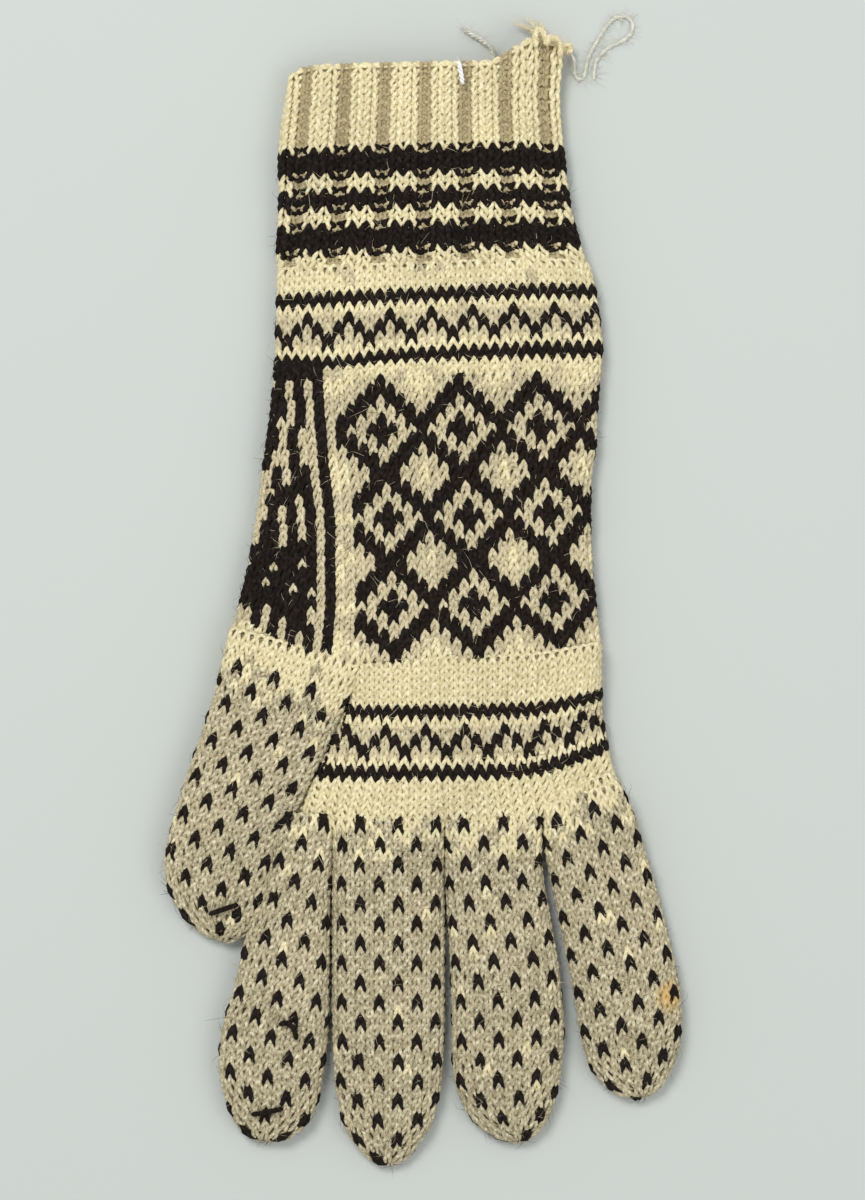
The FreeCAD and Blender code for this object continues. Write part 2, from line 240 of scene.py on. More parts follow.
class Knit:
    """One piece of knitting: its courses are added one by one, and made into a single mesh."""

    def __init__(self, name, hairs=5.0, stranded=0.0, muted=None):
        """hairs: loose fibres for each stitch. stranded: how many of the light stitches away from
        dark ones hide a dark strand too. muted is the wool of those stitches, and for the light
        ones that lie back in a rib it is painted shade. greyed, set later, is how many of them are
        in that wool."""
        self.name, self.hairs, self.stranded = name, hairs, stranded
        self.muted = muted or stranded_wool
        self.greyed = 1.0
        self.vertices, self.tips, self.tip_colours = [], [], []
        self.quads, self.quad_colours, self.quad_bake, self.quad_ply = [], [], [], []
        self.count = self.strip = 0

    def add(self, points):
        """Adds vertices, and says which number the first of them has."""
        self.vertices.append(points)
        self.count += len(points)
        return self.count - len(points)

    def add_quads(self, quads, colours, bake, ply):
        self.quads.append(quads)
        self.quad_colours.append(colours)
        self.quad_bake.append(bake)
        self.quad_ply.append(ply)

    def strand(self, centre, normals, colours, closed, radius, per_colour):
        """A yarn through the centres; colours has one value for each run of per_colour samples."""
        count = len(centre)
        if closed:
            tangent = np.roll(centre, -1, axis=0) - np.roll(centre, 1, axis=0)
        else:
            tangent = np.gradient(centre, axis=0)
        side = unit(np.cross(tangent, normals))
        out = unit(np.cross(side, tangent))
        angles = np.arange(SIDES) * 2 * math.pi / SIDES
        radius = np.broadcast_to(np.asarray(radius, float), (count,))[:, None, None]
        ring = (centre[:, None, :] + radius * (np.cos(angles)[None, :, None] * side[:, None, :]
                                               + np.sin(angles)[None, :, None] * out[:, None, :]))
        spans = count if closed else count - 1
        i = np.arange(spans)[:, None]
        k = np.arange(SIDES)[None, :]
        ahead = (i + 1) % count
        beside = (k + 1) % SIDES
        quads = np.stack([i * SIDES + k, i * SIDES + beside, ahead * SIDES + beside,
                          ahead * SIDES + k], axis=-1) + self.add(ring.reshape(-1, 3))
        step = np.linalg.norm(np.diff(centre, axis=0), axis=1)
        run = np.concatenate([[0], np.cumsum(step)])
        if closed:
            run = np.append(run, run[-1] + np.linalg.norm(centre[0] - centre[-1]))
        u0, u1 = run[:spans, None], run[1:spans + 1, None]
        v0 = k / SIDES
        v1 = v0 + 1 / SIDES
        ply = layout((u0, v0), (u0, v1), (u1, v1), (u1, v0))
        strip, place = np.divmod(i, CHUNK * SAMPLES)
        w0 = place / (CHUNK * SAMPLES)
        w1 = w0 + 1 / (CHUNK * SAMPLES)
        low, high = (strip + self.strip + YARN_BAND[0] + YARN_BAND[1] * v for v in (v0, v1))
        bake = layout((w0, low), (w0, high), (w1, high), (w1, low))
        painted = np.repeat(colours, per_colour)[:spans]
        self.add_quads(quads.reshape(-1, 4), np.repeat(painted, SIDES),
                       bake.reshape(-1, 4, 2), ply.reshape(-1, 4, 2))

    def course(self, tube, s, pitch, lengths, start, wale, first, colours, closed,
               faces=None, waves=None, warp=None):
        """One course of stitches from wale first on; wale n is centred at start + n * wale.
        faces is 1 for a stitch that faces out and -1 for one that faces in, waves raises stitches,
        and warp moves them round the tube."""
        count = len(colours)
        if self.stranded:
            dark = colours == BROWN
            near = np.any([np.roll(dark, k) for k in (-2, -1, 1, 2)], axis=0)
            near |= random.random(count) < self.stranded
            near &= random.random(count) < self.greyed
            colours = np.where((colours == CREAM) & near, STRANDED_AND_SHADE, colours)
        spans = count * SAMPLES
        t = np.arange(spans if closed else spans + 1) * 2 * math.pi / SAMPLES
        u = first - 0.5 + t / (2 * math.pi)
        leg = LEG_LEAN * np.sin(2 * t)
        loop = LOOP * pitch
        stitch = np.floor(t / (2 * math.pi) + 1e-6).astype(int) % count
        jitter = random.normal(0, JITTER, (3, count))
        bold = (colours == BROWN)[stitch]
        v = -loop * np.cos(t) * (1 + jitter[0][stitch] * np.sin(t / 2) ** 2)
        v = v * (1 + BOLD_SPREAD * bold * np.abs(np.sin(t)))
        face = between(faces, u, first, 1.0)
        wave = between(waves, u, first, 0.0)
        n = (END_TILT * np.cos(t) - LEG_RISE * np.cos(2 * t)) * face + wave
        n = n + 1.2 * jitter[1][stitch] * (1 - np.cos(t))
        n = n + BOLD_RISE * bold * np.abs(np.sin(t))
        shift = jitter[2][stitch] * (1 - np.cos(t)) * 0.6
        reach = u + leg + shift
        if warp:
            reach = warp(reach)
        centre, normals = tube.place(s, start + reach * wale, lengths, v, n)
        uneven = 1 + 0.06 * np.sin(3.1 * t + s)
        radius = min(YARN, YARN_SHARE * wale) * uneven * (1 + BOLD_YARN * bold)
        self.strand(centre, normals, colours, closed, radius, SAMPLES)
        self.shade_backing(tube, s, pitch, lengths, start, wale, first, colours, waves, warp)
        self.fuzz(centre, normals, colours, radius, count)
        self.strip += -(-count // CHUNK)

    def shade_backing(self, tube, s, pitch, lengths, start, wale, first, colours, waves, warp):
        """A sheet behind one course, which fills the gaps between its stitches with painted shade.
        """
        count = len(colours)
        u = first - 0.5 + np.arange(count + 1)
        depth = between(waves, u, first, 0.0) - BACKING_DEPTH
        if warp:
            u = warp(u)
        rows = []
        for side in (-0.54, 0.54):
            v = np.full(count + 1, side * pitch)
            rows.append(tube.place(s, start + u * wale, lengths, v, depth)[0])
        base = self.add(np.concatenate(rows))
        i = np.arange(count)
        quads = np.stack([i, i + 1, i + count + 2, i + count + 1], axis=-1) + base
        strip, place = np.divmod(i, CHUNK)
        strip = strip + self.strip
        w0, w1 = place / CHUNK, (place + 1) / CHUNK
        low, high = (strip + edge for edge in BACKING_BAND)
        bake = layout((w0, low), (w1, low), (w1, high), (w0, high))
        # Painted shade in the gaps: shaded cream behind light stitches and in knitting of one
        # colour, and behind the rest of stranded knitting the brown floats there, in shade.
        gap_shade = np.where((colours == CREAM) | (not self.stranded), GAP_SHADE, FLOATS_AND_SHADE)
        self.add_quads(quads, gap_shade, bake, np.zeros((count, 4, 2)))

    def fuzz(self, centre, normals, colours, radius, count):
        """Loose fibres that stand off the yarn: thin, curved and pointed."""
        number = random.poisson(self.hairs * count)
        if not number:
            return
        at = random.integers(0, len(centre), number)
        colour = np.asarray(colours)[np.minimum(at // SAMPLES, count - 1)]
        if self.stranded:
            strays = random.random(number)
            colour = np.where((colour == STRANDED_AND_SHADE) & (strays < 0.4), BROWN, colour)
            colour = np.where((colour == BROWN) & (strays > 0.88), STRANDED_AND_SHADE, colour)
        out = normals[at]
        lengths = random.gamma(2.2, 0.75, number)[:, None] + 0.5
        lean = unit(random.normal(0, 1, (number, 3)))
        lean = unit(lean - out * np.sum(lean * out, axis=1, keepdims=True) * 0.9)
        curl = unit(np.cross(out, lean)) * random.uniform(-0.5, 0.5, number)[:, None]
        rise = random.uniform(0.05, 0.4, number)[:, None]
        start = centre[at] + out * np.broadcast_to(radius, (len(centre),))[at][:, None] * 0.8
        middle = start + lengths * (0.5 * lean + rise * 0.9 * out + 0.12 * curl)
        end = start + lengths * (lean + rise * 0.7 * out + 0.5 * curl)
        side = unit(np.cross(lean, out))
        up = unit(np.cross(side, lean))
        rings = []
        for point, thick in zip((start, middle), FIBRE):
            for angle in FIBRE_SIDES:
                rings.append(point + thick * (math.cos(angle) * side + math.sin(angle) * up))
        base = self.add(np.concatenate(rings + [end]))
        i = np.arange(number)
        nowhere = np.zeros((number, 4, 2))
        for here, beside in ((0, 1), (1, 2), (2, 0)):
            a, b, c, d, tip = (k * number + i + base
                               for k in (here, beside, 3 + beside, 3 + here, 6))
            self.add_quads(np.stack([a, b, c, d], axis=-1), colour, nowhere, nowhere)
            self.tips.append(np.stack([d, c, tip], axis=-1))
            self.tip_colours.append(colour)

    def make(self):
        """The finished mesh object, with one layout for baking and one that follows the yarn."""
        vertices = np.concatenate(self.vertices) * MM
        vertices[:, 2] = np.maximum(vertices[:, 2], FLOOR_GAP * MM)
        quads = np.concatenate(self.quads)
        tips = np.concatenate(self.tips) if self.tips else np.zeros((0, 3), int)
        mesh = bpy.data.meshes.new(self.name)
        mesh.vertices.add(len(vertices))
        mesh.vertices.foreach_set("co", vertices.astype(np.float32).ravel())
        corners = np.concatenate([quads.ravel(), tips.ravel()])
        mesh.loops.add(len(corners))
        mesh.loops.foreach_set("vertex_index", corners.astype(np.int32))
        mesh.polygons.add(len(quads) + len(tips))
        starts = np.concatenate([np.arange(len(quads)) * 4, quads.size + np.arange(len(tips)) * 3])
        mesh.polygons.foreach_set("loop_start", starts.astype(np.int32))
        colours = np.concatenate(self.quad_colours + self.tip_colours)
        mesh.update(calc_edges=True)
        mesh.polygons.foreach_set("material_index", colours.astype(np.int32))
        mesh.polygons.foreach_set("use_smooth", np.ones(len(mesh.polygons), bool))
        for name, layers, scale in (("OFBake", self.quad_bake, (1, 1 / max(self.strip, 1))),
                                    ("Ply", self.quad_ply, (1, 1))):
            layer = mesh.uv_layers.new(name=name)
            values = np.zeros((len(corners), 2))
            values[:quads.size] = np.concatenate(layers).reshape(-1, 2) * scale
            layer.data.foreach_set("uv", values.astype(np.float32).ravel())
        rest = mesh.attributes.new("fabric", "FLOAT_VECTOR", "POINT")
        rest.data.foreach_set("vector", vertices.astype(np.float32).ravel())
        for material in (cream_wool, brown_wool, self.muted, float_and_shade_wool, gap_shade_wool):
            mesh.materials.append(material)
        return new_object(self.name, mesh)


# ---- materials
PLY_TURN = 3.4          # length of yarn in which its plies wind round it once
STAIN_COLOUR = (0.62, 0.36, 0.08)


def wool(name, colour, shade, dust, sheen, stain=None):
    """Spun wool: its colour drifts over the fabric, turns to shade between the plies and is
    mottled with dust. A stain has x, y and a size in metres, and is an orange mark there."""
    material = bpy.data.materials.new(name)
    material.use_nodes = True
    nodes, links = material.node_tree.nodes, material.node_tree.links
    place = nodes.new("ShaderNodeAttribute")
    place.attribute_name = "fabric"

    def fill(node, output, inputs):
        """Gives the inputs their values, or links them to other nodes. Says what comes out."""
        for key, value in inputs.items():
            if isinstance(value, bpy.types.NodeSocket):
                links.new(value, node.inputs[key])
            else:
                node.inputs[key].default_value = value
        return node.outputs[output]

    def calculate(operation, *values):
        node = nodes.new("ShaderNodeMath")
        node.operation = operation
        return fill(node, "Value", dict(enumerate(values)))

    def spread(value, low, high, bottom=0.0, top=1.0):
        """bottom where the value is low, top where it is high, and between them in between."""
        return fill(nodes.new("ShaderNodeMapRange"), "Result",
                    {"From Min": low, "From Max": high, "To Min": bottom, "To Max": top,
                     "Value": value})

    def noise(scale, detail):
        return fill(nodes.new("ShaderNodeTexNoise"), "Fac",
                    {"Scale": scale, "Detail": detail, "Vector": place.outputs["Vector"]})

    def mix(amount, first, second):
        blend = nodes.new("ShaderNodeMix")
        blend.data_type = "RGBA"
        first, second = ((*c, 1) if isinstance(c, tuple) else c for c in (first, second))
        return fill(blend, "Result", {"Factor": amount, "A": first, "B": second})

    # The grooves between two plies that wind round the yarn once in PLY_TURN.
    plies = nodes.new("ShaderNodeUVMap")
    plies.uv_map = "Ply"
    parts = nodes.new("ShaderNodeSeparateXYZ")
    links.new(plies.outputs["UV"], parts.inputs["Vector"])
    turn = calculate("ADD", calculate("MULTIPLY", parts.outputs["X"], 1 / PLY_TURN),
                     parts.outputs["Y"])
    wave = calculate("COSINE", calculate("MULTIPLY", turn, 4 * math.pi))
    groove = spread(wave, -1.0, -0.1, bottom=0.6)

    drift = mix(spread(noise(55, 3), 0.35, 0.7), colour, tuple(c * 0.80 for c in colour))
    mottled = mix(spread(noise(900, 2), 0.42, 0.75), drift, dust)
    seen = mix(groove, shade, mottled)
    if stain:
        x, y, size = stain
        away = nodes.new("ShaderNodeVectorMath")
        away.operation = "DISTANCE"
        far = fill(away, "Value", {0: place.outputs["Vector"], 1: (x, y, 0.010)})
        seen = mix(spread(far, 2 * size, 0.5 * size, top=0.75), seen, STAIN_COLOUR)
    height = calculate("MULTIPLY_ADD", noise(4200, 3), 0.45, groove)
    bump = fill(nodes.new("ShaderNodeBump"), "Normal",
                {"Strength": 0.35, "Distance": 0.00018, "Height": height})
    fill(nodes["Principled BSDF"], "BSDF",
         {"Roughness": 0.92, "Specular IOR Level": 0.18, "Sheen Weight": sheen,
          "Sheen Roughness": 0.55, "Sheen Tint": (*dust, 1), "Base Color": seen, "Normal": bump})
    return material


cream_wool = wool("cream_wool", (0.755, 0.67, 0.405), (0.44, 0.36, 0.18),
                  (0.84, 0.775, 0.545), 0.25)
brown_wool = wool("brown_wool", (0.008, 0.005, 0.003), (0.003, 0.002, 0.001),
                  (0.026, 0.019, 0.015), 0.02)
stranded_wool = wool("stranded_wool", (0.575, 0.505, 0.32), (0.30, 0.25, 0.14),
                     (0.69, 0.62, 0.43), 0.2)
digit_wool = wool("digit_wool", (0.44, 0.385, 0.24), (0.15, 0.12, 0.065),
                  (0.76, 0.70, 0.50), 0.2, stain=(0.0645, -0.1006, 0.0026))
# Painted shade: the light stitches that lie back between the ribs are coloured darker for the shade
# in those recesses.
shaded_purl_wool = wool("shaded_purl_wool", (0.44, 0.365, 0.205), (0.22, 0.175, 0.09),
                 (0.53, 0.455, 0.285), 0.15)
# Painted shade for the gaps between stitches: the brown floats of stranded knitting in their shade,
# and the cream inside of the fabric in its shade.
float_and_shade_wool = wool("float_and_shade_wool", (0.07, 0.055, 0.036), (0.04, 0.03, 0.02),
                  (0.10, 0.08, 0.06), 0.02)
gap_shade_wool = wool("gap_shade_wool", (0.26, 0.21, 0.11), (0.16, 0.13, 0.065),
                  (0.34, 0.29, 0.17), 0.1)
tie_wool = wool("tie_wool", (0.70, 0.70, 0.60), (0.46, 0.46, 0.38), (0.80, 0.80, 0.71), 0.3)
white_thread = wool("white_thread", (0.88, 0.88, 0.87), (0.6, 0.6, 0.6), (0.9, 0.9, 0.9), 0.1)


# ---- tubes of cuff and hand
def sleeve_station(y, left, right, waist=5.2, top=12.0):
    """A station between two edges, for a tube that runs straight down the glove."""
    return ((left + right) / 2, y, right - left, 0.0, top, waist)


SLEEVE = [sleeve_station(*row) for row in [
    (147.0, -33.4, 36.4, 6.0, 14.0), (142.0, -34.2, 36.0, 6.0, 13.6),
    (134.0, -35.7, 35.3, 5.8, 13.0), (122.0, -37.3, 36.0, 5.6, 13.0),
    (106.0, -37.6, 38.0, 5.4, 12.4), (95.0, -37.9, 40.5), (88.0, -38.5, 44.0),
    (80.0, -38.6, 45.6), (68.0, -38.9, 46.9), (54.0, -39.9, 45.7), (43.0, -41.2, 45.3),
    (33.0, -42.8, 44.0), (20.0, -44.5, 43.9), (8.0, -46.6, 44.5), (-2.0, -49.2, 45.6, 5.4),
    (-12.0, -52.2, 46.6, 5.6), (-18.0, -53.8, 46.8, 5.6)]]
PALM = [sleeve_station(*row) for row in [
    (-8.0, -20.0, 46.6, 4.6), (-14.0, -18.6, 46.7, 4.6), (-24.0, -20.0, 46.8, 4.6),
    (-34.0, -24.2, 47.9, 4.8), (-43.5, -28.4, 50.2, 5.0), (-52.0, -32.5, 53.4, 5.0),
    (-60.0, -36.4, 56.6, 5.0)]]
MIDDLE_X = 3.0          # x of the line that the courses' heights are counted on
FINGER_GAPS = (-24.6, 5.6, 30.8)    # x of the gaps between the fingers


def climb(x, y):
    """How much higher a course lies at x than at the glove's middle, for the course at y there."""
    tilt = smooth(y, [-56, -25, -11, 20, 61, 67, 83, 100, 142],
                  [0.01, 0.015, 0.035, 0.035, 0.02, 0.05, 0.042, 0.03, 0.02])
    right = smooth(y, [-56, -41, -25, -11, 0, 50], [0.30, 0.30, 0.22, 0.14, 0.08, 0.0])
    over = x - 29
    return tilt * (x - MIDDLE_X) + right * (over + np.sqrt(over ** 2 + 16)) / 2


def sleeve_lift(s, x):
    """How far down the tube a course of the hand or cuff lies at x, past its place at MIDDLE_X."""
    y = SLEEVE[0][1] - s
    thumb_side = ease(-y, -40, 12) * 0.33 * np.maximum(0, -23.0 - x)
    corner = ease(y, 126, 143) * (6.6 * ease(x, 16, 29) - 0.7 * ease(x, 31, 37)
                                  - 3.0 * (1 - ease(x, -36, -31)))
    dip = -1.2 * np.exp(-((x + 23) / 9) ** 2) * np.exp(-((y - 66) / 6) ** 2)
    return -(climb(x, y) + thumb_side + corner + dip)


def palm_lift(s, x):
    """The same for a course between the thumb and the fingers."""
    return -climb(x, PALM[0][1] - s)


def crotch_relief(x, y):
    """Shallow valleys in the knuckles' top, each towards a gap between two fingers."""
    depth = np.zeros_like(x)
    for gap in FINGER_GAPS:
        depth = depth - 1.8 * np.exp(-((x - gap) / 2.6) ** 2) * ease(-y, 42, 58)
    return depth


sleeve = Tube(SLEEVE, lift=sleeve_lift)
palm = Tube(PALM, lower=3.0, lean=-1.5, lift=palm_lift, relief=crotch_relief, upright=True,
            boxy=lambda s: 0.9 * (1 - ease(s, 4, 20)))


class Courses:
    """Courses down a tube, one below the other; apex is where the next one's V has its point."""

    def __init__(self, tube, top):
        self.apex = float(tube.at_y(top))

    def next(self, pitch):
        """Where the middle of the next course's stitches lies."""
        s = self.apex + LOOP_TOP * pitch + YARN
        self.apex += pitch
        return s


def full_ring(knit, tube, s, pitch, wales, anchor_x, chart, offset=0.0, faces=None, waves=None,
              warp=None):
    """A whole course of the tube. chart, faces and waves take the wales' numbers, which count
    from anchor_x."""
    lengths = tube.ring(s)
    wale = lengths[-1] / wales
    start = tube.reach_of_x(s, anchor_x, lengths) - offset * wale
    first = -(wales // 2)
    n = first + np.arange(wales)
    knit.course(tube, s, pitch, lengths, start, wale, first, chart(n), True,
                faces=faces and faces(n), waves=waves and waves(n), warp=warp)


def all_cream(n):
    return np.full(len(n), CREAM)


def all_brown(n):
    return np.full(len(n), BROWN)


# ---- cuff
RIB_WALES = 56
RIB = 4                 # wales in one rib: two that stand out, and two that lie back
RIB_ANCHOR = 5.5        # x of the edge between two ribs
RIB_OUT = 0.5           # how far the wales that stand out are raised
RIB_BACK = -1.6         # and the others
EDGE_ABOVE = 1.25       # the cast-on strand lies this far above the middle of the first course


def stands_out(n):
    return np.mod(n, RIB) < RIB / 2


def rib_widths(u):
    """Two wales that stand out spread over two thirds of a rib, and the two between are narrow."""
    place = np.mod(u + 0.5, RIB)
    return u - place + np.interp(place, [0, 2, 4], [-0.3, 2.3, 3.7])


def rib_ring(knit, pitch, colour):
    """The cuff's next course, in ribs. Says where it lies."""
    s = cuff_courses.next(pitch)
    # A light stitch that lies back in a rib takes the muted wool, which is painted shade for its
    # recess.
    purl_shade = STRANDED_AND_SHADE if colour == CREAM else colour
    full_ring(knit, sleeve, s, pitch, RIB_WALES, RIB_ANCHOR,
              lambda n: np.where(stands_out(n), colour, purl_shade), offset=0.5,
              faces=lambda n: np.where(stands_out(n), 1.0, -1.0),
              waves=lambda n: np.where(stands_out(n), RIB_OUT, RIB_BACK), warp=rib_widths)
    return s


def edge_strand(knit, s):
    """The cast-on strand, which runs through the loops at the head of the course at s."""
    lengths = sleeve.ring(s)
    wale = lengths[-1] / RIB_WALES
    start = sleeve.reach_of_x(s, RIB_ANCHOR, lengths) - 0.5 * wale
    u = np.arange(RIB_WALES * SAMPLES) / SAMPLES
    wave = np.interp(np.mod(u, RIB), [0, 1, 2, 3, 4],
                     [RIB_OUT, RIB_OUT, RIB_BACK, RIB_BACK, RIB_OUT])
    reach = start + rib_widths(u) * wale
    centre, normals = sleeve.place(s, reach, lengths, np.full(len(u), -EDGE_ABOVE), wave)
    knit.strand(centre, normals, np.full(RIB_WALES, CREAM), True, 0.5, SAMPLES)
    knit.strip += -(-RIB_WALES // CHUNK)


def finish_piece(knit, nodes, body=None, bend=None):
    """Makes the knitting's object, which rides on the body, or with a bend is fixed where it lies.
    bend is the two bodies, and where the fabric that bends starts and ends; it is not used beyond
    whether it is given."""
    piece = knit.make()
    if bend:
        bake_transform(piece)
    else:
        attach(piece, body)
    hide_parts(*nodes)


cuff_courses = Courses(sleeve, 141.2)
ribbing = Knit("cuff_ribbing", muted=shaded_purl_wool)
for course in range(10):
    s = rib_ring(ribbing, PLAIN, CREAM)
    if course == 0:
        edge_strand(ribbing, s)
finish_piece(ribbing, ["cast_on_edge", "cuff_rib"], body="cuff")

stripes = Knit("striped_ribbing", muted=shaded_purl_wool)
for colour in (BROWN, BROWN, BROWN, CREAM, CREAM, BROWN, BROWN):
    rib_ring(stripes, PLAIN, colour)
finish_piece(stripes, ["striped_rib"], body="cuff")

fold = Knit("wrist_fold", muted=shaded_purl_wool)
for pitch, colour in 2 * [(2.3, CREAM)] + 3 * [(2.2, BROWN)] + 2 * [(2.2, CREAM)]:
    rib_ring(fold, pitch, colour)
finish_piece(fold, ["wrist_band"],
             bend=("cuff", "hand", (1.75, 102.5, 6), (1.75, 84.5, 6)))

# ---- upper zigzag band
HAND_WALES = 64
ZIGZAG = {2: (0,), 3: (1, 3), 4: (2,)}      # the dark wales of four in each row of the zigzag


def hand_anchor(y):
    """x of the wale that runs down the middle of the first column of diamonds."""
    return smooth(y, [-14, 0, 22, 47, 60, 90], [-7.2, -7.8, -8.9, -10.7, -11.2, -11.3])


def hand_ring(knit, pitch, chart):
    """The next course of the hand."""
    s = cuff_courses.next(pitch)
    y = SLEEVE[0][1] - s
    full_ring(knit, sleeve, s, pitch, HAND_WALES, hand_anchor(y), chart)


def zigzag_chart(row, peak):
    """A line above and below, and between them a zigzag whose peaks are four wales apart."""
    if row in (0, 6):
        return all_brown
    dark = ZIGZAG.get(row, ())
    return lambda n: np.where(np.isin(np.mod(n - peak, 4), dark), BROWN, CREAM)


upper_band = Knit("upper_zigzag", stranded=0.05)
for _ in range(3):
    hand_ring(upper_band, 2.18, all_cream)
for row in range(7):
    hand_ring(upper_band, 2.58, zigzag_chart(row, 1))
for _ in range(2):      # with the dark line where the gusset begins
    hand_ring(upper_band, PLAIN, lambda n: np.where((n <= -6) & (n >= -15), BROWN, CREAM))
finish_piece(upper_band, ["upper_zigzag_band"], body="hand")


# ---- diamonds and thumb gusset
def seam_x(y):
    """x of the gusset's edge towards the diamonds."""
    return smooth(y, [-14, 4, 24, 36, 60, 90], [-24.0, -22.6, -22.9, -24.2, -26.0, -26.6])


# The dark wales in each row of a diamond and of the small one in it, counted from its middle.
DIAMOND = [(0, 1), (0, 1), (1, 2), (2, 3), (3, 4), (4,), (3, 4), (2, 3), (1, 2)]
SMALL_DIAMOND = {4: (0,), 5: (0, 1), 6: (0,)}
DIAMOND_ROWS = 29
LAST_WALE = 44          # the pattern ends here on the underside


def diamond_chart(row, n):
    """A lattice of diamonds eight wales wide and nine courses high, each round a small one."""
    step = np.abs(np.mod(n + 4, 8) - 4)
    turn = row % len(DIAMOND)
    edges = (0,) if row in (0, DIAMOND_ROWS - 1) else DIAMOND[turn]
    first = -4 if row < len(DIAMOND) else -3
    dark = np.isin(step, edges + SMALL_DIAMOND.get(turn, ())) & (n >= first) & (n <= LAST_WALE)
    return np.where(dark, BROWN, CREAM)


# The gusset's dark lines, each by y and x: it narrows towards the cuff and widens to the thumb.
# Its dark blocks are given by their limits in x and y, and the light stitches in them by x and y.
GUSSET_LINES = [
    ([-11.5, -3.3, 4.5, 16.1, 23.9, 35.5, 47.2, 59.6, 66.0],
     [-25.4, -24.4, -23.8, -24.0, -24.2, -25.5, -26.4, -27.3, -27.7]),
    ([16.1, 23.9, 35.5, 47.2, 59.6], [-34.9, -34.3, -33.1, -32.8, -32.2]),
    ([16.1, 23.9, 36.3], [-29.6, -30.0, -30.8]),
    ([16.1, 23.9, 36.3], [-39.8, -39.2, -36.8]),
    ([36.0, 39.4, 47.2, 59.6], [-40.2, -40.0, -38.7, -36.2]),
    ([-6.4, 1.5], [-43.9, -43.4]), ([-8.2, 1.5], [-38.7, -38.9]),
    ([-10.3, 1.5], [-34.3, -34.8]), ([-4.0, 1.5], [-31.0, -30.9]),
    ([-12.6, -5.0], [-30.0, -30.4])]
GUSSET_BLOCKS = [(-37.4, -26.4, 58.6, 66.4), (-99.0, -27.4, 1.0, 16.4)]
GUSSET_LIGHT = [(-39.3, 11.0), (-39.8, 5.6), (-34.7, 4.4), (-29.8, 2.6), (-45.0, 11.4),
                (-30.6, 11.4)]
GUSSET_WALE = 2.5       # width of its stitches, about


def gusset_chart(x, y, wale):
    """True for the gusset's dark stitches: those in its blocks, and those on its lines."""
    dark = np.zeros(len(x), bool)
    for left, right, low, high in GUSSET_BLOCKS:
        dark |= (x > left) & (x < right) & (y > low) & (y < high)
    for ys, xs in GUSSET_LINES:
        near = np.abs(x - np.interp(y, ys, xs)) < wale * 0.6
        dark |= near & (y >= ys[0]) & (y <= ys[-1])
    for light_x, light_y in GUSSET_LIGHT:
        dark &= (np.abs(x - light_x) > wale * 0.5) | (np.abs(y - light_y) > PATTERNED * 0.5)
    return dark


def split_ring(panel, gusset, s, pitch, row):
    """A course that is part gusset and part hand, divided at the gusset's edge."""
    y = SLEEVE[0][1] - s
    lengths = sleeve.ring(s)
    front = sleeve.reach_of_x(s, seam_x(y), lengths)
    back = sleeve.reach_of_x(s, seam_x(y), lengths, below=True)
    start = sleeve.reach_of_x(s, hand_anchor(y), lengths)
    after = int(round((back - start) / smooth(y, [-12, 60], [2.66, 2.52]) - 0.5))
    wale = (back - start) / (after + 0.5)
    before = int(round((start - front) / wale - 0.5))
    edge = (front - start) / wale
    n = np.arange(-before, after + 1)

    def warp(u):
        return np.where(u < -1, -1 + (u + 1) * (edge + 1) / (0.5 - before), u)

    panel.course(sleeve, s, pitch, lengths, start, wale, -before, diamond_chart(row, n), False,
                 warp=warp)
    room = lengths[-1] - (back - front)
    count = int(round(room / GUSSET_WALE))
    narrow = room / count
    start = front - narrow / 2
    n = -count + 1 + np.arange(count)
    centres, _ = sleeve.place(s, start + n * narrow, lengths, np.zeros(count), np.zeros(count))
    dark = gusset_chart(centres[:, 0], centres[:, 1], narrow)
    gusset.course(sleeve, s, pitch, lengths, start, narrow, -count + 1,
                  np.where(dark, BROWN, CREAM), False)


DIAMOND_STEP = PATTERNED * 0.995        # from one course of the diamonds to the next
gusset = Knit("thumb_gusset_knit", stranded=0.05)
row = 0
for name, last, nodes in (("diamonds_upper", 15, ["diamond_panel"]),
                          ("diamonds_lower", DIAMOND_ROWS, [])):
    panel = Knit(name, stranded=0.05)
    while row < last:
        split_ring(panel, gusset, cuff_courses.next(DIAMOND_STEP), PATTERNED, row)
        row += 1
    finish_piece(panel, nodes, body="hand")
finish_piece(gusset, ["thumb_gusset"], body="hand")

# ---- palm, lower band and knuckles
PALM_WALES = 56
PALM_ANCHOR = 0.6       # x of the wale that the lower band is counted from
palm_courses = Courses(palm, -12.8)


def palm_ring(knit, pitch, chart):
    """The next course between the thumb and the fingers."""
    s = palm_courses.next(pitch)
    full_ring(knit, palm, s, pitch, PALM_WALES, PALM_ANCHOR, chart)


palm_rows = Knit("palm_plain")
for _ in range(6):
    palm_ring(palm_rows, 2.0, all_cream)
finish_piece(palm_rows, ["palm_band"], body="hand")
lower_band = Knit("lower_zigzag", stranded=0.05)
for row in range(7):
    palm_ring(lower_band, 2.66, zigzag_chart(row, 0))
finish_piece(lower_band, ["lower_zigzag_band"], body="hand")
knuckles = Knit("knuckle_plain")
for _ in range(5):
    palm_ring(knuckles, PLAIN, all_cream)
finish_piece(knuckles, ["knuckle_band"], body="hand")

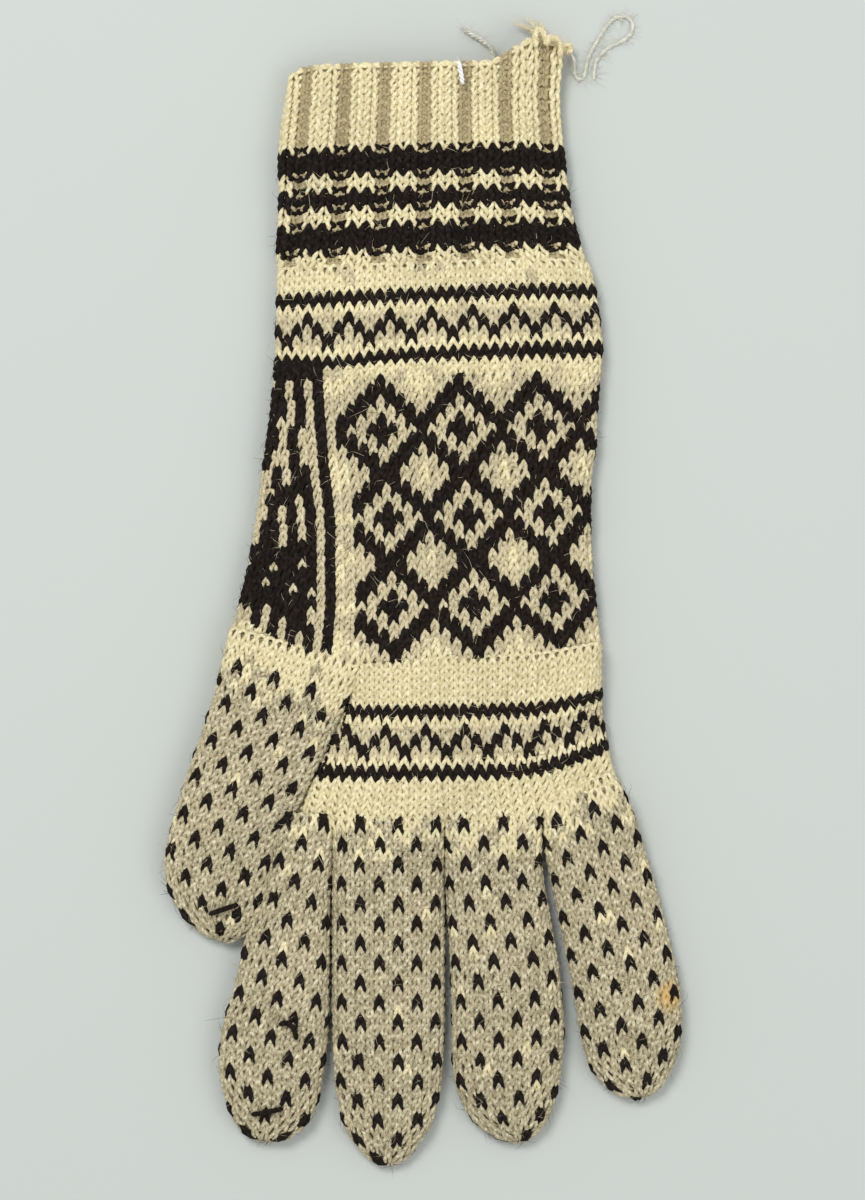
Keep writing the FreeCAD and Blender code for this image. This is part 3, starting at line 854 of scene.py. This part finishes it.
# ---- fingers and thumb
# fold and bend are the y of a digit's joints, and turn is the way they face, in degrees. Its
# first course starts at y top, has the number first and is pushed in by tuck. anchor is x of the
# dots' middle column near its root.
USUAL = {"turn": 0.0, "lean": 0.0, "first": 0, "tuck": 0.0}
DIGITS = {
    "index": {
        "stations": [
            (-29.6, -51, 12.6, -3, 12, 5), (-31, -62, 15.6, -4, 11.3, 4.8),
            (-33.3, -75, 18.8, -5, 11, 4.6), (-35.2, -86, 22.4, -6, 11, 4.6),
            (-37, -101, 25.6, -6, 11, 4.8), (-39, -113, 28.3, -6, 11, 4.8),
            (-39.8, -122, 27.6, -7, 10.8, 4.6), (-40, -130, 23.6, -8, 10, 4.2),
            (-40.6, -135, 18, -8, 8.4, 3.6), (-41.2, -137.8, 11.5, -8, 6.4, 3),
            (-41.4, -139, 5.6, -8, 4.6, 2.4)],
        "fold": -90, "bend": -114, "anchor": -26.8, "top": -53.6, "lean": -1.0},
    "middle": {
        "stations": [
            (-9.4, -51, 31, 0, 12, 5), (-9.2, -60, 30.2, 0, 11.4, 4.8),
            (-9.2, -104.5, 30, 0, 11, 4.8), (-9.2, -120.9, 28.8, 0, 10.8, 4.8),
            (-9.4, -134.2, 24, 0, 9.6, 4.2), (-9.5, -139, 18.4, 0, 8.4, 3.6),
            (-9.4, -142.8, 12.4, 0, 6.4, 3), (-9.4, -145.2, 6, 0, 4.6, 2.4)],
        "fold": -90, "bend": -117, "anchor": -6.6, "top": -54.1},
    "ring": {
        "stations": [
            (18.2, -51, 26, 2, 12, 5), (18.2, -66, 26.2, 2, 11.2, 4.8),
            (20.1, -84.5, 27.8, 3, 11, 4.8), (21.4, -97, 29.2, 3, 11, 4.8),
            (22, -111, 30, 3, 11, 4.8), (21.9, -120, 29, 4, 10.8, 4.6),
            (22.4, -128, 25.4, 5.5, 10, 4.2), (23.4, -134.2, 18.8, 5.5, 8.4, 3.6),
            (24.3, -137.4, 12, 5.5, 6.4, 3), (24.9, -139.2, 5.8, 5.5, 4.6, 2.4)],
        "fold": -90, "bend": -115, "anchor": 20.6, "top": -53.6},
    "little": {
        "stations": [
            (40.9, -47.8, 21.6, 19, 12, 5), (44.2, -62, 26, 16, 11.2, 4.8),
            (49.6, -84, 27.6, 14, 11, 4.8), (53.6, -104, 28.2, 12, 11, 4.8),
            (54.7, -114.4, 25.8, 12, 10.6, 4.6), (55.6, -121, 20.6, 12, 9.2, 4),
            (56.4, -125.6, 12.8, 12, 7, 3.2), (56.9, -127.7, 5.6, 12, 4.6, 2.4)],
        "fold": -84, "bend": -106, "anchor": 46.3, "top": -45.6, "first": -2, "tuck": -1.0},
    "thumb": {
        "stations": [
            (-32.6, -5.5, 34.8, -14.5, 12, 6), (-33.7, -10, 35.2, -15.6, 12, 6.2),
            (-38.9, -27.2, 33.4, -19, 11.6, 6.6), (-50, -55.2, 29.8, -19, 11.4, 6.4),
            (-54.3, -70.2, 28.4, -19, 11, 6), (-55.1, -78, 24, -19, 10, 5),
            (-54.9, -83, 16.6, -19, 8, 3.8), (-54.4, -86.2, 6.4, -19, 4.8, 2.6)],
        "fold": -27, "bend": -55, "anchor": -36, "top": -7, "turn": -19, "lean": 1.6,
        "first": -4, "tuck": -1.8},
}
DIGIT_WALE = 2.46       # width of a digit's stitches, about
TIP_ROOM = 1.2          # no course starts nearer to a digit's end
BEND_REACH = 9.0        # half the length of fabric that bends at a joint
BEND_HEIGHT = 5.5


def dots_chart(row, n):
    """Single dark stitches four wales apart in every second course, those of the next between."""
    if row < 0 or row % 2:
        return all_cream(n)
    return np.where(np.mod(n, 4) == (0 if row % 4 == 0 else 2), BROWN, CREAM)


for digit, shape in DIGITS.items():
    spec = {**USUAL, **shape}
    stations = spec["stations"]
    tube = Tube(stations, upper=2.6, lower=3.0, lean=spec["lean"], closed=True,
                boxy=lambda s: 0.95 * (1 - ease(s, 4, 20)))
    courses = Courses(tube, spec["top"])
    joints = [float(tube.at_y(spec[joint])) for joint in ("fold", "bend")]
    parts = [Knit(digit + part, stranded=0.97, muted=digit_wool)
             for part in ("_root_knit", "_end_knit")]
    row = spec["first"]
    while courses.apex < tube.along[-1] - TIP_ROOM:
        s = courses.next(PATTERNED)
        wales = max(6, 2 * int(round(tube.ring(s)[-1] / DIGIT_WALE / 2)))
        knit = parts[0] if s < sum(joints) / 2 else parts[1]
        knit.greyed = float(ease(row, -2.5, 4.5))
        anchor = float(tube.shape(s)[0]) + spec["anchor"] - stations[1][0]
        tucked = spec["tuck"] if row == spec["first"] else 0.0
        full_ring(knit, tube, s, PATTERNED, wales, anchor,
                  lambda n: dots_chart(row, n), waves=lambda n: np.full(len(n), tucked))
        row += 1
    turn = math.radians(spec["turn"])
    run = np.array([math.sin(turn), -math.cos(turn), 0.0])
    bodies = ("hand", digit + "_middle", digit + "_end")
    node_sets = ([digit + "_root", digit + "_middle_part"], [digit + "_end_part", digit + "_tip"])
    for knit, joint, pair, nodes in zip(parts, joints, (bodies[:2], bodies[1:]), node_sets):
        x, y = tube.shape(joint)[:2]
        centre = np.array([float(x), float(y), BEND_HEIGHT])
        finish_piece(knit, nodes,
                     bend=(*pair, centre - run * BEND_REACH, centre + run * BEND_REACH))


# ---- tie yarn, knot and threads
def plied(name, points, radius, material, node, body, plies=3, twist=2.4, steps=60,
          hairs=2.0):
    """A strand of plies that wind round a smooth curve through the points, once in each twist."""
    points = np.array(points, float)
    places = np.concatenate([[0], np.cumsum(np.linalg.norm(np.diff(points, axis=0), axis=1))])
    run = np.linspace(0, places[-1], steps)
    centre = np.stack([smooth(run, places, points[:, axis]) for axis in range(3)], axis=-1)
    tangent = unit(np.gradient(centre, axis=0))
    side = unit(np.cross(tangent, np.array([0.31, 0.17, 0.93])))
    up = np.cross(side, tangent)
    strand = Knit(name, hairs=hairs)
    taper = np.sqrt(np.clip(np.minimum(run, places[-1] - run) / radius, 0.04, 1))
    for ply in range(plies):
        angle = run * 2 * math.pi / twist + ply * 2 * math.pi / plies
        away = np.cos(angle)[:, None] * side + np.sin(angle)[:, None] * up
        path = centre + (0.5 * radius * taper)[:, None] * away
        strand.strand(path, up, np.zeros(steps, int), False, 0.52 * radius * taper, 1)
        strand.fuzz(path, up, np.zeros(steps, int), 0.5 * radius * taper, steps // SAMPLES)
        strand.strip += 1
    piece = strand.make()
    piece.data.materials.clear()
    piece.data.materials.append(material)
    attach(piece, body)
    if node:
        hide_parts(node)
    return piece


plied("marker_thread_strand",
      [(10.2, 135.2, 13.7), (10.0, 136.4, 14.5), (9.5, 139.0, 14.7), (9.0, 141.3, 13.9)],
      0.66, white_thread, "marker_thread", "cuff", plies=2)
plied("thumb_tip_strand",
      [(-55.6, -79.4, 10.6), (-53.5, -78.6, 11.6), (-50.0, -77.4, 11.6), (-48.0, -76.8, 10.8)],
      0.7, brown_wool, "thumb_tip_yarn", "thumb_end")
plied("index_tip_strand",
      [(-44.6, -131.4, 9.8), (-42.5, -130.9, 11.4), (-39.0, -130.2, 11.4), (-36.4, -129.8, 9.8)],
      0.7, brown_wool, "index_tip_yarn", "index_end")
plied("index_float",
      [(-37.4, -108.0, 10.6), (-35.6, -107.4, 11.9), (-33.6, -108.8, 12.1), (-32.8, -111.8, 11.4)],
      0.72, brown_wool, None, "index_middle")
plied("fuzzy_end",
      [(18.6, 143.0, 3.0), (17.6, 146.6, 2.4), (15.2, 148.6, 1.6), (12.6, 150.2, 1.2),
       (10.2, 151.9, 0.9)],
      0.6, tie_wool, None, "cuff", plies=2, hairs=9)

# The tuft of loose fibres beside the knot.
TUFT_FIBRES = 22
TUFT_POINTS = 14        # along each fibre
tuft = Knit("edge_tuft", hairs=3)
for _ in range(TUFT_FIBRES):
    foot = np.array([30.5, 149.6, 5.5]) + random.normal(0, 0.5, 3)
    head = np.array([26.8, 153.6, 2.6]) + random.normal(0, 1, 3) * [2.4, 0.9, 0.9]
    head[1] = min(head[1], 155.2)
    run = np.linspace(0, 1, TUFT_POINTS)[:, None]
    sway = random.normal(0, 1.1, 3) * [1, 0.5, 0.5]
    path = foot + (head - foot) * run + sway * np.sin(math.pi * run)
    tuft.strand(path, np.tile([0.1, 0.2, 0.97], (TUFT_POINTS, 1)), np.zeros(TUFT_POINTS, int),
                False, np.linspace(0.16, 0.04, TUFT_POINTS), 1)
    tuft.strip += 1
tuft_piece = tuft.make()
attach(tuft_piece, "cuff")

# The knot is a coil of two turns that tips up and down, and two loops of yarn stand beside it.
knot_path = []
for k in range(40):
    turn = k / 39 * 4 * math.pi
    knot_path.append((37.5 + 0.75 * math.cos(turn) * (1 + 0.3 * math.sin(1.5 * turn)),
                      146.0 + 0.8 * math.sin(turn), 4.2 + 0.9 * math.sin(1.5 * turn)))
plied("tie_knot_coil", knot_path, 0.8, cream_wool, "tie_knot", "cuff", steps=200)
plied("edge_loop",
      [(29.2, 145.0, 13.2), (28.8, 147.8, 12.8), (29.9, 149.9, 11.2), (31.3, 148.4, 11.4),
       (32.0, 145.4, 12.6)],
      0.85, cream_wool, None, "cuff")
plied("edge_loop_front",
      [(31.8, 145.6, 12.8), (32.6, 147.6, 12.4), (34.3, 147.6, 11.2), (35.6, 145.6, 9.6),
       (35.4, 143.0, 9.0)],
      0.85, cream_wool, None, "cuff")

# The tie yarn's radius and route, as the design has them.
YARN_RADIUS = 0.4
YARN_ROUTE = [
    (38.47, 144.95, 3.34), (39.4, 143.6, 2.4), (39.6, 141.8, 1.2), (39.5, 140.1, 0.6),
    (40.2, 138.7, 0.45), (41.6, 138.6, 0.45), (42.4, 139.9, 0.45), (42.6, 142.3, 0.5),
    (43.5, 145.2, 0.5), (45.5, 148.6, 0.45), (47.6, 152.2, 0.45), (50.2, 155.0, 0.45),
    (53.2, 155.3, 0.5), (55.1, 153.0, 0.5), (54.3, 150.0, 0.45), (51.5, 148.3, 0.45),
    (48.2, 146.9, 0.45), (45.7, 144.4, 0.5), (44.6, 141.3, 0.5), (44.7, 138.6, 0.45),
]
tie_curve = bpy.data.curves.new("tie_yarn_strand", "CURVE")
tie_curve.dimensions = "3D"
tie_curve.bevel_depth = YARN_RADIUS * MM
tie_curve.bevel_resolution = 3
tie_curve.resolution_u = 10
tie_curve.use_fill_caps = True
route = tie_curve.splines.new("NURBS")
route.points.add(len(YARN_ROUTE) - 1)
for point, place in zip(route.points, YARN_ROUTE):
    point.co = (*(c * MM for c in place), 1.0)
route.order_u = 3
route.use_endpoint_u = True
tie_yarn = new_object("tie_yarn_strand", tie_curve)
tie_curve.materials.append(tie_wool)
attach(tie_yarn, "cuff")
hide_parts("tie_yarn")

# Loose fibres and thin plies that make the tie yarn's outside uneven, along its own line.
line = tie_yarn.copy()
line.data = tie_yarn.data.copy()
line.data.bevel_depth = 0
line_mesh = bpy.data.meshes.new_from_object(line)
yarn_line = np.array([vertex.co for vertex in line_mesh.vertices]) / MM
bpy.data.objects.remove(line)
bpy.data.meshes.remove(line_mesh)
tie_fibres = plied("tie_yarn_fibres", yarn_line[4:], 0.52, tie_wool, None, "cuff",
                   plies=2, twist=4.3, steps=260, hairs=12)

# ---- floor, light and camera
floor_mesh = bpy.data.meshes.new("floor")
half = 3.0
floor_mesh.from_pydata([(-half, -half, 0), (half, -half, 0), (half, half, 0), (-half, half, 0)],
                       [], [(0, 1, 2, 3)])
floor = new_object("floor", floor_mesh)
pale = bpy.data.materials.new("pale_floor")
pale.use_nodes = True
pale_shader = pale.node_tree.nodes["Principled BSDF"]
pale_shader.inputs["Base Color"].default_value = (0.50, 0.53, 0.505, 1)
pale_shader.inputs["Roughness"].default_value = 0.95
floor_mesh.materials.append(pale)

world = bpy.data.worlds.new("room")
bpy.context.scene.world = world
world.use_nodes = True
background = world.node_tree.nodes["Background"]
background.inputs["Color"].default_value = (1.0, 1.0, 1.0, 1)
background.inputs["Strength"].default_value = 0.64


def lamp(name, place, size, power):
    """A round lamp that faces the glove."""
    light = bpy.data.lights.new(name, "AREA")
    light.shape = "DISK"
    light.size = size
    light.energy = power
    holder = new_object(name, light)
    holder.location = place
    holder.rotation_euler = (-Vector(place)).to_track_quat("-Z", "Y").to_euler()


lamp("key_light", (-0.35, 0.55, 1.25), 0.5, 11.0)
lamp("fill_light", (0.7, -0.3, 1.2), 0.9, 4.4)

camera_data = bpy.data.cameras.new("camera")
camera_data.lens = 100
camera_data.sensor_width = 36
camera_data.clip_end = 10
camera = new_object("camera", camera_data)
camera.location = (0.00234, 0.00208, 0.8745)
bpy.context.scene.camera = camera
bpy.context.scene.view_settings.view_transform = "Standard"
